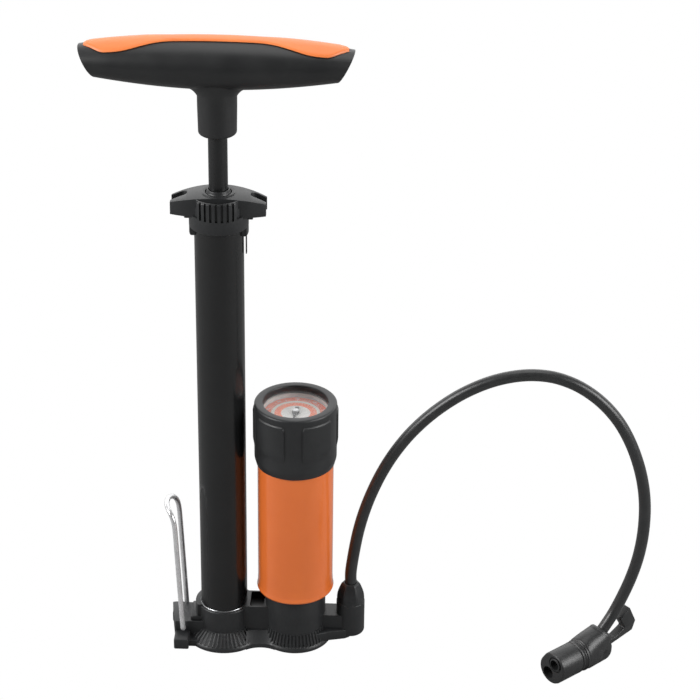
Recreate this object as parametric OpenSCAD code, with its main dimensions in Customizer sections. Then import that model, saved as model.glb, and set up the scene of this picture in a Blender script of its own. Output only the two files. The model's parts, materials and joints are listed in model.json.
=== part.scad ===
// Hand pump for balls and tyres: a barrel, an air canister with a pressure gauge,
// a folding foot stirrup and a hose with a two-port lever head.
// Millimetres, +Z up. The origin is on the floor, on the barrel's axis.

/* [Barrel] */
// Outer diameter of the barrel tube
barrel_d = 30; // [29:0.5:31]
// Wall of the barrel tube
barrel_wall = 1.2; // [1:0.1:1.5]
// Height of the barrel's top edge above the floor
barrel_top = 310; // [280:1:330]

/* [Rod and handle] */
// Diameter of the piston rod
rod_d = 11.6; // [11:0.1:12]
// Length of rod showing between the guide bush and the handle stem
rod_showing = 34.3; // [20:0.1:60]
// Length of the handle across its tips
handle_len = 161.6; // [140:0.1:180]

/* [Canister and gauge] */
// Distance from the barrel's axis to the canister's axis
canister_x = 46.4; // [45.5:0.1:50]
// Outer diameter of the canister
canister_d = 48.2; // [47.5:0.1:48.5]
// Diameter over the gauge cap's grip pads
cap_d = 53.6; // [53:0.1:55]
// Diameter of the window in the gauge cap
window_d = 40.8; // [38:0.1:41]

/* [Foot stirrup] */
// Diameter of the stirrup wire
wire_d = 3.2; // [3:0.1:3.4]
// Angle at which the folded stirrup leans out
stirrup_lean = 2.7; // [1:0.1:4]

/* [Hose] */
// Outer diameter of the hose
hose_d = 7.6; // [7:0.1:8]

/* [Hidden] */

fit = 0.05;                         // running clearance on a radius
eps = 0.01;
barrel_r = barrel_d / 2;
bore_r = barrel_r - barrel_wall;
rod_r = rod_d / 2;

// base casting
boss_r = barrel_r + 1.9;            // boss round the barrel
boss_top = 25;
lip_r = boss_r + 1.8;
socket_floor = 11;
web_half = 10;
web_top = 26.2;
can_boss_r = 20.3;
can_boss_top = 38;
spigot_r = 15.9;
spigot_top = 50;
skirt_top = 9.5;                    // where the ribbed skirts start
skirt_edge = 1.6;
barrel_skirt_r = 26;
can_skirt_r = 23.6;
duct_z = 6.5;
duct_r = 2;
post_x = 82.5;
post_r = 9.2;
post_bottom = 4;
post_top = 28;
hinge_x = -26.1;
hinge_z = 10;
lug_half = 11.5;
lug_top = 14.5;
lug_left = -33.4;

// collar at the top of the barrel
collar_r = 18;
collar_bottom = 294.5;
collar_ceiling = barrel_top;
plate_top = 316.5;
plate_half = 28.7;                  // half length of the hook plate
plate_depth = 11;                   // half depth at its middle
plate_end = 5.9;                    // half depth at its ends
plate_arc = (pow(plate_half, 2) + pow(plate_depth - plate_end, 2)) / (2 * (plate_depth - plate_end));
bush_top = 320;
bush_bottom = 300;
stem_bottom = bush_top + rod_showing;

// piston stack, in the handle's rest position
nut_bottom = 51;
washer_bottom = 57;
cup_bottom = 58.5;
piston_bottom = 62.5;
piston_top = 76;
bumper_top = 81;
rod_top = 377.8;
stud_r = 3;

// canister and gauge
can_r = canister_d / 2;
can_bore_r = can_r - 1.4;
can_bottom = 38.6;
can_floor = 46.6;
can_top = 150;
cap_r = cap_d / 2;
cap_core_r = cap_r - 0.6;
cap_bottom = 131.8;
cap_top = 174.7;
window_r = window_d / 2;
lens_bottom = 169.4;
lens_top = 171.2;
dial_top = 166.4;
dial_t = 0.8;
case_floor = 150.5;
case_r = can_bore_r - 0.1;
needle_angle = -96;                 // the needle's rest direction

// handle
stem_r = 11.5;
handle_mid = 398;                   // height of the grip's centre line
grip_half = handle_len / 2;
grip_rings = 16;

// stirrup, hose and head
wire_r = wire_d / 2;
leg_y = 14.2;
hose_r = hose_d / 2;
ferrule_top = 41.5;
head_at = [212.5, -47.3, 0];
head_turn = 42;
head_mid = 11.4;                    // height of the head's axis
head_roll = 33;
schrader_z = -5.2;                  // the two valve ports, from the head's axis
presta_z = 5.2;
socket_tilt = 48;
socket_top = [45, 0, 22];
socket_r = 8.2;
pivot = [42, 0, 9.5];
pin_r = 1.5;

// Centre line of the hose, from the ferrule to the head's socket
hose_route = [[82.5, 0, 41.5], [82.5, 0, 50], [84, 0, 65], [86.5, 0, 81], [90, 0, 96],
    [95, -1, 111], [101, -1, 127], [109, -2, 142], [118.5, -2, 157], [132, -3, 172],
    [149, -4, 187], [168, -4, 197], [187, -5, 202], [204, -5, 202], [218, -6, 197],
    [230, -6, 190], [241, -7, 180], [249, -7, 170], [256, -8, 157], [261.5, -8, 143],
    [265.5, -9, 129], [268, -9, 115], [268.5, -9, 100], [268, -10, 85], [266, -10, 70],
    [262, -10, 55], [257, -11, 41], [252, -13, 31], [245.9, -17.2, 22]];

// ---- helpers ----

// The direction of a route at point i, and a ring of points across it.
// side is a direction that the route never takes.
function unit(v) = v / norm(v);
function along(p, i) = unit(p[min(i + 1, len(p) - 1)] - p[max(i - 1, 0)]);
function ring(c, d, side, r, sides) =
    let (a = unit(cross(d, side)), b = cross(d, a))
    [for (k = [0:sides - 1]) c + r * (cos(360 * k / sides) * a + sin(360 * k / sides) * b)];

// Solid through a list of rings that all have n points
module skin(rings) {
    n = len(rings[0]);
    last = len(rings) - 1;
    sides = [for (i = [0:last - 1]) for (k = [0:n - 1])
        let (a = i * n + k, b = i * n + (k + 1) % n)
        each [[a, a + n, b], [b, a + n, b + n]]];
    caps = [[for (k = [0:n - 1]) k], [for (k = [n - 1:-1:0]) last * n + k]];
    polyhedron(points = [for (r = rings) each r], faces = concat(sides, caps));
}

// Round bar swept along a list of points; d0 and d1 are its end directions
module sweep(p, r, sides, side, d0, d1) {
    last = len(p) - 1;
    skin([for (i = [0:last])
        ring(p[i], i == 0 ? d0 : i == last ? d1 : along(p, i), side, r, sides)]);
}

module tube(r, bore, h) {
    difference() {
        cylinder(r = r, h = h, $fn = 64);
        translate([0, 0, -1]) cylinder(r = bore, h = h + 2, $fn = 64);
    }
}

// Tube between two heights
module tube_from(z0, z1, r, bore) {
    translate([0, 0, z0]) tube(r, bore, z1 - z0);
}

module disc_from(z0, z1, r) {
    translate([0, 0, z0]) cylinder(r = r, h = z1 - z0, $fn = 64);
}

// Bar along Y, centred on the XZ plane
module cross_bar(r, len) {
    rotate([90, 0, 0]) cylinder(r = r, h = len, center = true, $fn = 48);
}

module at_canister() { translate([canister_x, 0, 0]) children(); }
module at_head() { translate(head_at) rotate([0, 0, head_turn]) children(); }

// ---- base ----

module skirt(boss, edge) {
    rotate_extrude($fn = 96)
        polygon([[0, 0], [edge - 0.8, 0], [edge, 0.8], [edge, skirt_edge], [boss + 0.5, skirt_top],
            [0, skirt_top]]);
}

module base_casting() color("#2b2c2e") difference() {
    union() {
        disc_from(0, boss_top, boss_r);
        intersection() {
            disc_from(14, boss_top, lip_r);
            translate([-30, -8, 0]) cube([60, 40, 60]);
        }
        skirt(boss_r, barrel_skirt_r);
        translate([0, -web_half, 0]) cube([canister_x, 2 * web_half, web_top]);
        translate([8, -17, 0]) cube([32, 34, 7]);
        at_canister() {
            disc_from(0, can_boss_top, can_boss_r);
            disc_from(can_boss_top - 1, spigot_top, spigot_r);
            skirt(can_boss_r, can_skirt_r);
        }
        translate([canister_x, -8, post_bottom]) cube([post_x - canister_x, 16, 15.5]);
        translate([post_x, 0, post_bottom]) cylinder(r = post_r, h = post_top - post_bottom, $fn = 64);
        // lug that carries the stirrup, with its two toe blocks
        translate([lug_left, -lug_half, 0]) cube([-lug_left - 6, 2 * lug_half, lug_top]);
        for (s = [-1, 1])
            translate([lug_left, s > 0 ? lug_half - 1 : -22.5, 0]) cube([9.4, 12, 7.4]);
        translate([-21.5, -9, lug_top - 1]) cube([8, 18, 3.5]);
    }
    // barrel socket, valve chamber and the duct to the canister and the hose
    disc_from(socket_floor, web_top + 1, barrel_r + 0.02);
    disc_from(3, socket_floor + 1, 5);
    translate([3, 0, duct_z]) rotate([0, 90, 0]) cylinder(r = duct_r, h = post_x - 3, $fn = 32);
    at_canister() disc_from(duct_z, spigot_top + 1, 3);
    at_canister() tube_from(can_boss_top + 3, can_boss_top + 6, spigot_r + 2, spigot_r - 1.2);
    translate([post_x, 0, 0]) disc_from(duct_z, post_top - 12, duct_r);
    translate([post_x, 0, 0]) disc_from(post_top - 12, post_top + 1, 3);
    translate([hinge_x, 0, hinge_z]) cross_bar(wire_r + fit, 60);
    // the underside is cored out between the bosses
    translate([19.5, -7, -1]) cube([5, 14, 4]);
    translate([-21, -7, -1]) cube([4, 14, 4]);
}

module check_valve_seat() color("#b58a3c")
    difference() {
        disc_from(8.6, socket_floor, 5);
        disc_from(8, socket_floor + 1, 2);
    }

module check_valve_ball() color("silver") translate([0, 0, 6.55]) sphere(r = 2.8, $fn = 48);

module check_valve_spring() color("silver") {
    turns = 3;
    steps = 14;
    low = 3.22;
    high = 4.42;
    last = turns * steps;
    p = [for (i = [0:last])
        let (a = 360 * i / steps, r = 4.2 - 2 * i / last)
        [r * cos(a), r * sin(a), low + (high - low) * i / last]];
    sweep(p, 0.2, 6, [0, 0, 1], unit(p[1] - p[0]), unit(p[last] - p[last - 1]));
}

module barrel_seal() color("#151515") tube_from(socket_floor, 12.5, barrel_r - 0.1, bore_r - 0.4);

module barrel_tube() color("#1d1e20") tube_from(12.5, barrel_top, barrel_r, bore_r);

// ---- collar ----

module plate_outline() {
    intersection() {
        translate([0, plate_depth - plate_arc]) circle(r = plate_arc, $fn = 180);
        translate([0, plate_arc - plate_depth]) circle(r = plate_arc, $fn = 180);
        square([2 * plate_half, 40], center = true);
    }
}

module plate_arch(r) {
    translate([0, 0, plate_top - plate_arc]) cross_bar(r, 40);
}

// Open hook slot that follows the plate's back edge
module hook_slot() {
    translate([22.3, 2.6, 296]) rotate([0, 0, -15.5]) {
        cylinder(r = 3.25, h = 30, $fn = 48);
        translate([0, -3.25, 0]) cube([14, 6.5, 30]);
    }
}

module top_collar() color("#2b2c2e") difference() {
    union() {
        tube_from(collar_bottom, plate_top - 1, collar_r, barrel_r - 2);
        for (s = [0, 180]) rotate([0, 0, s]) intersection() {
            tube_from(288.3, collar_bottom + 1, collar_r, barrel_r + 0.02);
            translate([10, -5.5, 280]) cube([20, 11, 30]);
        }
        intersection() {
            translate([0, 0, 290]) linear_extrude(40) plate_outline();
            difference() { plate_arch(plate_arc); plate_arch(plate_arc - 8.6); }
        }
        // snap tabs and the thin tongue that lies against the barrel
        for (s = [-1, 1]) translate([s * 18.4 - 1.5, -2.5, collar_bottom]) cube([3, 5, 6]);
        translate([barrel_r + 0.1, -3, 276]) cube([0.9, 6, 14]);
    }
    disc_from(270, collar_ceiling, barrel_r + 0.02);
    disc_from(collar_ceiling - 1, plate_top + 5, 8.05);
    hook_slot();
    mirror([1, 0, 0]) hook_slot();
    for (a = [0:15:345]) rotate([0, 0, a + 7.5])
        if (abs(sin(a + 7.5)) > 0.5)
            translate([collar_r - 0.7, -0.9, 304]) cube([3, 1.8, 10.5]);
}

module rod_guide_bush() color("#3a3a3c") difference() {
    union() {
        disc_from(bush_bottom, plate_top + eps, 8);
        disc_from(302, collar_ceiling - 0.02, bore_r - 0.1);
        disc_from(plate_top, bush_top, 7.1);
    }
    disc_from(bush_bottom - 1, bush_top + 1, rod_r + fit);
    tube_from(304.5, 307.5, 20, bore_r - 1.6);
}

module bush_seal() color("#151515") tube_from(304.6, 307.4, bore_r - 0.03, bore_r - 1.55);

// ---- piston, rod and handle ----

module piston_head() color("#d8d4c8") difference() {
    union() {
        disc_from(piston_bottom + 4, piston_top, bore_r - 0.15);
        disc_from(cup_bottom + 0.5, piston_top, 9);
    }
    disc_from(cup_bottom - 1, piston_top + 1, stud_r + 0.02);
    tube_from(70, 72.5, 20, 11.6);
}

// Moulded cup with a thin lip that opens towards the valve
module piston_cup() color("#151515") rotate_extrude($fn = 96)
    polygon([[9.02, cup_bottom + 0.02], [12.4, cup_bottom + 0.02], [bore_r - fit, 60.2],
        [bore_r - fit, 62], [bore_r - 0.4, 66.45], [9.02, 66.45]]);

module piston_washer() color("silver") tube_from(washer_bottom, cup_bottom, 10, stud_r + 0.02);

module piston_nut() color("silver") difference() {
    translate([0, 0, nut_bottom]) cylinder(r = 5.8, h = washer_bottom - nut_bottom, $fn = 6);
    disc_from(nut_bottom - 1, washer_bottom + 1, stud_r + 0.02);
}

module rod_bumper() color("#151515") tube_from(piston_top, bumper_top, 9.5, rod_r + 0.02);

module piston_rod() color("#1d1e20") difference() {
    union() {
        disc_from(nut_bottom, piston_top + 1, stud_r);
        disc_from(piston_top, rod_top, rod_r);
    }
    disc_from(362, rod_top + 1, 2.52);
}

module handle_screw() color("silver") {
    disc_from(364, 382.1, 2.5);
    difference() {
        disc_from(382.05, 386.5, 4.7);
        translate([0, 0, 384]) cylinder(r = 2.4, h = 4, $fn = 6);
    }
}

// Grip section at station t, from -1 to 1 along the handle, at angle a round it
function bump(x) = x <= 0 ? 0 : x >= 1 ? 1 : x * x * (3 - 2 * x);
function grip_h(t) = 15.2 - 5.8 * t * t;
function grip_d(t) = 17.5 - 5.4 * t * t;
function grip_x(t, z) = t * (grip_half - 11.3 + (z - 387) * 0.543);
function grip_point(t, a, inset) =
    let (z = handle_mid + (grip_h(t) - inset) * sin(a))
    [grip_x(t, z), (grip_d(t) - inset) * cos(a), z];
// Angle at which the pad's border lies: high in the middle, low on the two lobes
function pad_angle(t) = let (u = abs(t))
    77 - 30 * bump((u - 0.3) / 0.45) + 38 * bump((u - 0.8) / 0.17);
function pad_deep(t) = abs(t) < 0.93 ? 2.8 : 0.3;
pad_steps = 6;
pad_gap = 0.7;                      // degrees between the pad's edge and its recess
function pad_arc(t, inset, gap = 0) = let (a = pad_angle(t) + gap)
    [for (i = [0:pad_steps]) grip_point(t, a + (180 - 2 * a) * i / pad_steps, inset)];
function body_arc(t) = let (a = pad_angle(t), n = 16)
    [for (i = [0:n]) grip_point(t, 180 - a + (180 + 2 * a) * i / n, 0)];
function reversed(p) = [for (i = [len(p) - 1:-1:0]) p[i]];
// In the middle of the list only, because the ends belong to the outer arc
function inner(p) = [for (i = [1:len(p) - 2]) p[i]];
grip_t = [for (i = [-grip_rings:grip_rings]) i / grip_rings];

module handle_body() color("#222325") difference() {
    union() {
        skin([for (t = grip_t) concat(body_arc(t), inner(pad_arc(t, abs(t) < 0.97 ? pad_deep(t) : 0)))]);
        rotate_extrude($fn = 96) polygon([[0, stem_bottom], [stem_r - 1.5, stem_bottom],
            [stem_r - 0.4, stem_bottom + 0.5], [stem_r, stem_bottom + 1.6], [stem_r + 0.2, 374],
            [stem_r + 1, 379], [stem_r + 3.3, 382.5], [stem_r + 3.3, 388], [0, 388]]);
    }
    disc_from(stem_bottom - 1, 378, rod_r + fit);
    disc_from(370, 390, 2.6);
    disc_from(382, 406, 5.4);
}

module handle_pad() color("#f08238")
    skin([for (t = grip_t) if (abs(t) < 0.95)
        concat(pad_arc(t, 0, pad_gap), reversed(pad_arc(t, pad_deep(t) - 0.15, pad_gap)))]);

// ---- canister and gauge ----

module canister_seal() color("#151515") at_canister()
    tube_from(can_boss_top + 3.05, can_boss_top + 5.95, spigot_r + 0.12, spigot_r - 1.15);

module air_canister() color("#f07c38") at_canister() rotate_extrude($fn = 128)
    polygon([[spigot_r + 0.15, can_bottom], [can_r + 0.3, can_bottom],
        [can_r + 0.7, can_bottom + 0.6], [can_r + 0.6, can_bottom + 2], [can_r, can_bottom + 5],
        [can_r, can_top], [can_bore_r, can_top], [can_bore_r, can_floor],
        [spigot_r + 0.15, can_floor]]);

// Cup that closes the canister and holds the movement
module gauge_case() color("#d9dadb") at_canister() difference() {
    union() {
        disc_from(141, lens_bottom - 0.4, case_r);
        disc_from(can_top + 0.05, can_top + 2, can_r);
    }
    disc_from(case_floor, 180, window_r - 1.2);
    disc_from(dial_top - dial_t, 180, window_r + 0.2);
    disc_from(140, 155, 3.05);
    tube_from(143.5, 146.5, 30, case_r - 1.8);
}

module case_seal() color("#151515") at_canister()
    tube_from(143.6, 146.4, can_bore_r - 0.02, case_r - 1.75);

// Grip pads round the cap, below its rim
module cap_pad(a) {
    rotate([0, 0, a]) intersection() {
        tube_from(145, 169.5, cap_r, cap_core_r - 1);
        translate([0, 0, 140]) linear_extrude(40)
            polygon([[0, 0], [60, -60 * tan(18)], [60, 60 * tan(18)]]);
    }
}

module gauge_cap() color("#27282a") at_canister() difference() {
    union() {
        rotate_extrude($fn = 128)
            polygon([[0, cap_bottom], [cap_core_r - 1.6, cap_bottom], [cap_core_r - 0.5, cap_bottom + 0.8],
                [cap_core_r, cap_bottom + 3], [cap_core_r, cap_top - 2], [cap_core_r - 0.5, cap_top - 0.7],
                [cap_core_r - 1.4, cap_top], [0, cap_top]]);
        for (a = [0:60:300]) cap_pad(a + 6.4);
    }
    disc_from(cap_bottom - 1, can_top + 2.1, can_r + 0.1);
    disc_from(can_top + 2, lens_top, case_r + 0.05);
    disc_from(lens_top - 1, cap_top + 1, window_r);
}

module gauge_lens() color("#dfe8ea", 0.35) at_canister()
    disc_from(lens_bottom, lens_top - 0.02, case_r - 0.05);

module gauge_dial() color("#f4f1ea") at_canister() difference() {
    disc_from(dial_top - dial_t, dial_top, window_r + 0.15);
    disc_from(150, 180, 1.15);
}

module bourdon_tube() color("#c99a4b") at_canister() rotate([0, 0, 20])
    rotate_extrude(angle = 285, $fn = 96) translate([13, 154]) difference() {
        square([2, 6]);
        translate([0.4, 0.4]) square([1.2, 5.2]);
    }

module gauge_inlet() color("#c99a4b") at_canister() {
    difference() {
        union() {
            disc_from(138, 152.5, 3);
            translate([0, -2, case_floor]) cube([13.6, 4, 3.4]);
        }
        disc_from(137, 151.5, 1.2);
    }
}

module movement_bridge() color("#c99a4b") at_canister() difference() {
    union() {
        translate([-3, -9, 161]) cube([6, 18, 1.6]);
        for (s = [-1, 1]) translate([0, s * 7.2, 0]) disc_from(case_floor, 161.5, 1.4);
    }
    disc_from(150, 180, 1.05);
}

module needle_shaft() color("silver") at_canister() {
    disc_from(157.5, dial_top + 1.4, 1);
    disc_from(dial_top + 1.3, dial_top + 2.4, 1.9);
}

module gauge_needle() color("#1c1c1e") at_canister() rotate([0, 0, needle_angle]) difference() {
    union() {
        translate([0, 0, dial_top + 0.5]) linear_extrude(0.5)
            polygon([[-6.5, -1.1], [0, -0.9], [14.6, -0.2], [14.6, 0.2], [0, 0.9], [-6.5, 1.1]]);
        disc_from(dial_top + 0.5, dial_top + 1, 2.4);
    }
    disc_from(150, 180, 1.02);
}

// ---- foot stirrup ----

// Half of the wire's centre line, in the upright plane of its legs; its top bends outwards
stirrup_half = [[0, -12.7, 0], [0, -13.8, 0.6], [0, -leg_y, 2.4], [0, -leg_y, 30], [0, -leg_y, 58],
    [0, -13.9, 76], [-0.4, -13.2, 81], [-1.6, -11.8, 85], [-3.4, -9.4, 87.6], [-4.9, -6, 88.8],
    [-5.7, -2.6, 89.2]];

module foot_stirrup() color("silver") translate([hinge_x, 0, hinge_z]) rotate([0, -stirrup_lean, 0]) {
    last = len(stirrup_half) - 1;
    other_half = [for (i = [last:-1:0]) [stirrup_half[i].x, -stirrup_half[i].y, stirrup_half[i].z]];
    sweep(concat(stirrup_half, other_half), wire_r + 0.12, 10, [1, 0, 0], [0, -1, 0], [0, -1, 0]);
    for (s = [-1, 1]) translate([0, s * 10.1, 0]) cross_bar(wire_r, 6);
}

// ---- hose and its fittings ----

module hose_barb() color("#c99a4b") translate([post_x, 0, 0]) difference() {
    union() {
        disc_from(post_top - 11.9, post_top + 1, 2.98);
        disc_from(post_top + 0.05, post_top + 2.2, 5.5);
        disc_from(post_top + 2, post_top + 9, 2.1);
    }
    disc_from(0, 60, 1.2);
}

module hose_ferrule() color("#2b2c2e") translate([post_x, 0, 0]) difference() {
    rotate_extrude($fn = 64)
        polygon([[0, post_top + 0.02], [post_r - 0.3, post_top + 0.02],
            [post_r - 0.3, post_top + 1.5], [8.6, post_top + 4.5], [8, post_top + 7.4],
            [7.1, post_top + 9.8], [6.2, 39.6], [5.2, ferrule_top], [0, ferrule_top]]);
    disc_from(post_top - 1, post_top + 2.3, 5.55);
    disc_from(post_top, ferrule_top - 3, 2.2);
}

module hose() color("#1f2021")
    sweep(hose_route, hose_r, 10, [0, 1, 0], [0, 0, 1], -1 * socket_dir);

// ---- pump head ----

// Direction of the hose socket, out of the head, in the part's own frame
socket_dir = [cos(socket_tilt) * cos(head_turn), cos(socket_tilt) * sin(head_turn), sin(socket_tilt)];

module along_x(x0, x1, r) {
    translate([x0, 0, 0]) rotate([0, 90, 0]) cylinder(r = r, h = x1 - x0, $fn = 64);
}

// Oval bar along the head's axis: two round bars and the flat between them
module oval_bar(x0, x1, r, spread) {
    for (s = [-1, 1]) translate([0, 0, s * spread]) along_x(x0, x1, r);
    if (spread > 0) translate([x0, -r, -spread]) cube([x1 - x0, 2 * r, 2 * spread]);
}

// Everything in the nozzle is rolled about the head's axis
module in_nozzle() { at_head() translate([0, 0, head_mid]) rotate([head_roll, 0, 0]) children(); }

module head_body() color("#242527") difference() {
    at_head() union() {
        translate([0, 0, head_mid]) along_x(21.6, 38, 10);
        translate(socket_top) rotate([0, 90 - socket_tilt, 0]) translate([0, 0, -20])
            cylinder(r = socket_r, h = 20, $fn = 64);
        for (s = [-1, 1]) translate([30, s > 0 ? 4.7 : -7.2, 4]) cube([17, 2.5, 12]);
    }
    in_nozzle() along_x(20, 36, 7.2);
    at_head() translate(pivot) cross_bar(pin_r + 0.02, 40);
    at_head() translate([34.5, -4.6, 2]) cube([20, 9.2, 15.5]);
    at_head() translate(socket_top) rotate([0, 90 - socket_tilt, 0]) translate([0, 0, -17])
        cylinder(r = 1.6, h = 16, $fn = 32);
}

module head_plunger() color("#d8d4c8") in_nozzle() difference() {
    union() {
        along_x(15.2, 33, 7.12);
        along_x(32, 36.6, 3.5);
    }
    along_x(14, 20, 2.5);
}

module head_gasket() color("#151515") in_nozzle() difference() {
    oval_bar(3.1, 13.4, 8.3, 1.7);
    translate([0, 0, schrader_z]) along_x(0, 20, 3.9);
    translate([0, 0, presta_z]) along_x(0, 20, 3.05);
}

module head_nozzle_cap() color("#242527") in_nozzle() difference() {
    union() {
        oval_bar(0, 21.5, 9.9, 1.7);
        translate([-0.7, 0, presta_z]) along_x(0, 3, 4.4);
    }
    oval_bar(3, 23, 8.4, 1.7);
    translate([0, 0, schrader_z]) along_x(-2, 5, 4.1);
    translate([0, 0, presta_z]) along_x(-2, 5, 3.3);
}

module head_lever_pin() color("silver") at_head() translate(pivot) cross_bar(pin_r, 15);

// Arm and upturned finger block, seen from the side
lever_outline = [[42.6, 4.9], [52, 9.6], [69.7, 12.6], [71.9, 19], [66.2, 30.3], [59.2, 24.4],
    [63.4, 17.2], [54.8, 13.4], [41.5, 13.2]];
lever_wide = 5.2;

module head_lever() color("#1b1c1d") at_head() difference() {
    union() {
        translate(pivot) cross_bar(5, 9);
        rotate([90, 0, 0]) linear_extrude(lever_wide, center = true) polygon(lever_outline);
    }
    translate(pivot) cross_bar(pin_r + fit, 20);
}

base_casting();
check_valve_seat();
check_valve_ball();
check_valve_spring();
barrel_seal();
barrel_tube();
top_collar();
rod_guide_bush();
bush_seal();
piston_head();
piston_cup();
piston_washer();
piston_nut();
rod_bumper();
piston_rod();
handle_screw();
handle_body();
handle_pad();
canister_seal();
air_canister();
gauge_case();
case_seal();
gauge_cap();
gauge_lens();
gauge_dial();
bourdon_tube();
gauge_inlet();
movement_bridge();
needle_shaft();
gauge_needle();
foot_stirrup();
hose_barb();
hose_ferrule();
hose();
head_body();
head_plunger();
head_gasket();
head_nozzle_cap();
head_lever_pin();
head_lever();
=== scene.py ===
import json
import math

import bpy
import bmesh
from mathutils import Matrix, Vector


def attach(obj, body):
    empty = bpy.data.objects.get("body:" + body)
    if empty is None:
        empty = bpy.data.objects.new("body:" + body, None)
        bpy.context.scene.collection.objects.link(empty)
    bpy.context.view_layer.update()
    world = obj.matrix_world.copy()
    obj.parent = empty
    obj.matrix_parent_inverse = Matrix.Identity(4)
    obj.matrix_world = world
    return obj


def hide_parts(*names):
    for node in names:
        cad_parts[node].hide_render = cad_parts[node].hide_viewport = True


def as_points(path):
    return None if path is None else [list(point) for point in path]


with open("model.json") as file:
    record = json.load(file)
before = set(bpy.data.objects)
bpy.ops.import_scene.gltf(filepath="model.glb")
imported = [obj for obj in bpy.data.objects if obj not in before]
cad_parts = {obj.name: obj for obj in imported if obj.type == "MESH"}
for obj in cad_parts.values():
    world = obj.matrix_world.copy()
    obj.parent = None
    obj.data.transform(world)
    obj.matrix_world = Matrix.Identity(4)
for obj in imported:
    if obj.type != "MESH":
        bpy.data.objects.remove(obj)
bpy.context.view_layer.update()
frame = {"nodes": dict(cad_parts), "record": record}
scene = bpy.context.scene
mm = 0.001
print("frame loaded")


# camera, on the barrel's own axes

view = {
    "place": (0.11727, -1.28988, 0.89531),
    "turn": -0.029,      # radians from +Y towards +X
    "down": 0.487,
    "roll": 0.014,
    "lens": 121.82,
    "sensor": 36,
}


def makeCamera():
    data = bpy.data.cameras.new("camera")
    data.lens = view["lens"]
    data.sensor_width = view["sensor"]
    data.clip_start = 0.05
    camera = bpy.data.objects.new("camera", data)
    scene.collection.objects.link(camera)
    camera.matrix_world = (
        Matrix.Translation(view["place"])
        @ Matrix.Rotation(-view["turn"], 4, "Z")
        @ Matrix.Rotation(math.pi / 2 - view["down"], 4, "X")
        @ Matrix.Rotation(view["roll"], 4, "Z")
    )
    scene.camera = camera


makeCamera()


# modelling helpers; every length given to them is in millimetres

def clear():
    if bpy.context.object and bpy.context.object.mode != "OBJECT":
        bpy.ops.object.mode_set(mode="OBJECT")
    bpy.ops.object.select_all(action="DESELECT")


def pick(piece):
    clear()
    piece.select_set(True)
    bpy.context.view_layer.objects.active = piece


def edit(piece):
    pick(piece)
    bpy.ops.object.mode_set(mode="EDIT")
    bpy.ops.mesh.select_all(action="SELECT")


def done():
    bpy.ops.object.mode_set(mode="OBJECT")


def faceOut():
    # ends an edit with every face turned outwards
    bpy.ops.mesh.select_all(action="SELECT")
    bpy.ops.mesh.normals_make_consistent(inside=False)
    done()


def named(name):
    piece = bpy.context.object
    piece.name = name
    piece.data.name = name
    return piece


def selectWhere(piece, kind, test):
    # selects the elements that pass, from edit mode, and stays in it
    bpy.ops.mesh.select_all(action="DESELECT")
    bpy.ops.mesh.select_mode(type={"verts": "VERT", "edges": "EDGE", "faces": "FACE"}[kind])
    form = bmesh.from_edit_mesh(piece.data)
    for item in getattr(form, kind):
        if test(item):
            item.select_set(True)
    bmesh.update_edit_mesh(piece.data)


def outlined(name, points, filled=True):
    # a flat closed outline of (x, y, z) points
    clear()
    fill = "NGON" if filled else "NOTHING"
    bpy.ops.mesh.primitive_circle_add(vertices=len(points), radius=mm, fill_type=fill)
    piece = named(name)
    for vertex, point in zip(piece.data.vertices, points):
        vertex.co = Vector(point) * mm
    return piece


weldGap = 0.002


def tidyUp(piece):
    edit(piece)
    bpy.ops.mesh.remove_doubles(threshold=weldGap * mm)
    bpy.ops.mesh.dissolve_degenerate(threshold=weldGap * mm)
    faceOut()
    return piece


def capped(piece):
    # closes the open ends flat
    edit(piece)
    selectWhere(piece, "edges", lambda e: e.is_boundary)
    bpy.ops.mesh.edge_face_add()
    faceOut()
    return piece


def turned(name, profile, at=(0, 0), steps=96, loose=False):
    # spins a profile of (r, z) points about an upright axis
    piece = outlined(name, [(r, 0, z) for r, z in profile], filled=False)
    if loose:
        edit(piece)
        last = len(profile) - 1
        selectWhere(piece, "edges", lambda e: {v.index for v in e.verts} == {0, last})
        bpy.ops.mesh.delete(type="EDGE_FACE")
        done()
    edit(piece)
    bpy.ops.mesh.spin(steps=steps, angle=math.tau, center=(0, 0, 0), axis=(0, 0, 1))
    done()
    tidyUp(piece)
    return shifted(piece, (at[0], at[1], 0))


def solid(name, profile, at=(0, 0), steps=96):
    # spins an open profile that starts and ends on the axis
    return turned(name, profile, at, steps, loose=True)


def shifted(piece, by):
    edit(piece)
    bpy.ops.transform.translate(value=Vector(by) * mm)
    done()
    return piece


def swollen(piece, grow):
    # moves every vertex off the upright axis by the factor that grow gives for its place
    for vertex in piece.data.vertices:
        x, y, z = vertex.co / mm
        factor = grow(math.hypot(x, y), math.atan2(y, x), z)
        vertex.co.x *= factor
        vertex.co.y *= factor
    return piece


def turnedBy(piece, degrees, axis):
    piece.data.transform(Matrix.Rotation(math.radians(degrees), 4, axis))
    return piece


def rod(name, radius, low, high, at=(0, 0), steps=96):
    return solid(name, [(0, low), (radius, low), (radius, high), (0, high)], at, steps)


def crossRod(name, radius, half, at, steps=32):
    # lies along Y
    return shifted(turnedBy(rod(name, radius, -half, half, steps=steps), 90, "X"), at)


def prism(name, outline, low, high, axis="Z"):
    # outline of two coordinates, extruded along the third
    place = {
        "X": lambda a, b, c: (c, a, b),
        "Y": lambda a, b, c: (a, c, b),
        "Z": lambda a, b, c: (a, b, c),
    }[axis]
    piece = outlined(name, [place(a, b, low) for a, b in outline])
    edit(piece)
    bpy.ops.mesh.extrude_region_move(
        TRANSFORM_OT_translate={"value": Vector(place(0, 0, high - low)) * mm}
    )
    faceOut()
    return piece


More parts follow.
